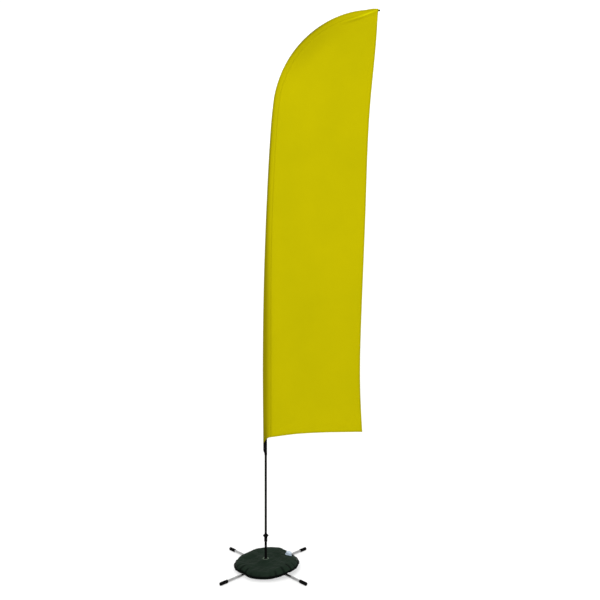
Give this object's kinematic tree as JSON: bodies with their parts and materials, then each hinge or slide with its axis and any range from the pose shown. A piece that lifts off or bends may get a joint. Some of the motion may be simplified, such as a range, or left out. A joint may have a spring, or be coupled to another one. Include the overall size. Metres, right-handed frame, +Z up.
{
  "type": "blade flag on a cross base",
  "caption": "Tall blade-shaped advertising flag on a curved pole that turns on a folding cross base, held down by a round water bag.",
  "frame": {"origin": "on the pole's axis, at floor level under the hub's pad", "axes": "+Z up along the pole, +X the way the flag flies, legs along the four diagonals of X and Y"},
  "size_m": [1.2657, 0.6738, 4.5301],
  "materials": {
    "flag_fabric": "matt woven polyester",
    "black_webbing": "matt webbing",
    "bag_skin": "satin coated cloth",
    "water": "clear",
    "cap_white": "satin",
    "black_rubber": "matt",
    "leg_chrome": "polished",
    "black_metal": "satin powder coat",
    "steel": "zinc plated",
    "pole_aluminium": "black anodised",
    "pole_glass_fibre": "satin",
    "black_plastic": "satin"
  },
  "bodies": {
    "base": {"hub_casting": "black_metal", "hub_pad": "black_rubber", "leg_pivot_bolts": "steel", "leg_pivot_washers": "steel", "leg_pivot_nuts": "steel", "base_post": "black_metal", "post_screw": "steel", "post_lock_ring": "black_metal", "bearing_housing": "black_metal", "housing_circlip": "steel", "shaft_seal": "black_rubber", "bearing_outer_rings": "steel", "bearing_outer_spacer": "steel"},
    "spindle": {"spindle_shaft": "black_metal", "spindle_retaining_screw": "steel", "spigot_ring": "black_rubber", "bearing_inner_rings": "steel", "bearing_inner_spacer": "steel", "bearing_balls": "steel"},
    "pole": {"pole_section_1": "pole_aluminium", "pole_section_2": "pole_aluminium", "pole_section_3": "pole_glass_fibre", "pole_section_4": "pole_glass_fibre", "pole_stop_collars": "pole_aluminium", "pole_mouth_rings": "steel", "pole_end_bush": "black_plastic", "pole_tip_cap": "black_plastic", "flag_panel": "flag_fabric", "pole_sleeve": "flag_fabric", "back_hem": "flag_fabric", "bottom_hem": "flag_fabric", "sleeve_cuff": "black_webbing", "tip_webbing": "black_webbing", "cuff_eyelet": "steel", "cuff_stud": "steel"},
    "water_bag": {"bag_top_panel": "bag_skin", "bag_bottom_panel": "bag_skin", "bag_eyelet": "steel", "filler_neck": "cap_white", "water_ballast": "water"},
    "cap": {"filler_cap": "cap_white", "cap_gasket": "black_rubber"},
    "leg_front_right": {"leg_tube_front_right": "leg_chrome", "leg_tongue_front_right": "black_metal", "leg_foot_front_right": "black_rubber"},
    "leg_back_right": {"leg_tube_back_right": "leg_chrome", "leg_tongue_back_right": "black_metal", "leg_foot_back_right": "black_rubber"},
    "leg_back_left": {"leg_tube_back_left": "leg_chrome", "leg_tongue_back_left": "black_metal", "leg_foot_back_left": "black_rubber"},
    "leg_front_left": {"leg_tube_front_left": "leg_chrome", "leg_tongue_front_left": "black_metal", "leg_foot_front_left": "black_rubber"}
  },
  "joints": [
    {"name": "flag_turn", "type": "hinge", "parent": "base", "child": "spindle", "pos_m": [0, 0, 0.228], "axis": [0, 0, 1], "continuous": true},
    {"name": "pole_lift", "type": "slide", "parent": "spindle", "child": "pole", "axis": [0, 0, 1], "range_m": [0, 0.17]},
    {"name": "bag_lift", "type": "slide", "parent": "base", "child": "water_bag", "axis": [0, 0, 1], "range_m": [0, 0.17]},
    {"name": "cap_turn", "type": "hinge", "parent": "water_bag", "child": "cap", "pos_m": [0.18324, 0.06669, 0.0696], "axis": [0.2432, 0.0885, 0.9659], "range_deg": [0, 540]},
    {"name": "leg_fold_front_right", "type": "hinge", "parent": "base", "child": "leg_front_right", "pos_m": [0.02828, -0.02828, 0.013], "axis": [0.7071, 0.7071, 0], "range_deg": [0, 90]},
    {"name": "leg_fold_back_right", "type": "hinge", "parent": "base", "child": "leg_back_right", "pos_m": [0.02828, 0.02828, 0.013], "axis": [-0.7071, 0.7071, 0], "range_deg": [0, 90]},
    {"name": "leg_fold_back_left", "type": "hinge", "parent": "base", "child": "leg_back_left", "pos_m": [-0.02828, 0.02828, 0.013], "axis": [-0.7071, -0.7071, 0], "range_deg": [0, 90]},
    {"name": "leg_fold_front_left", "type": "hinge", "parent": "base", "child": "leg_front_left", "pos_m": [-0.02828, -0.02828, 0.013], "axis": [0.7071, -0.7071, 0], "range_deg": [0, 90]}
  ]
}
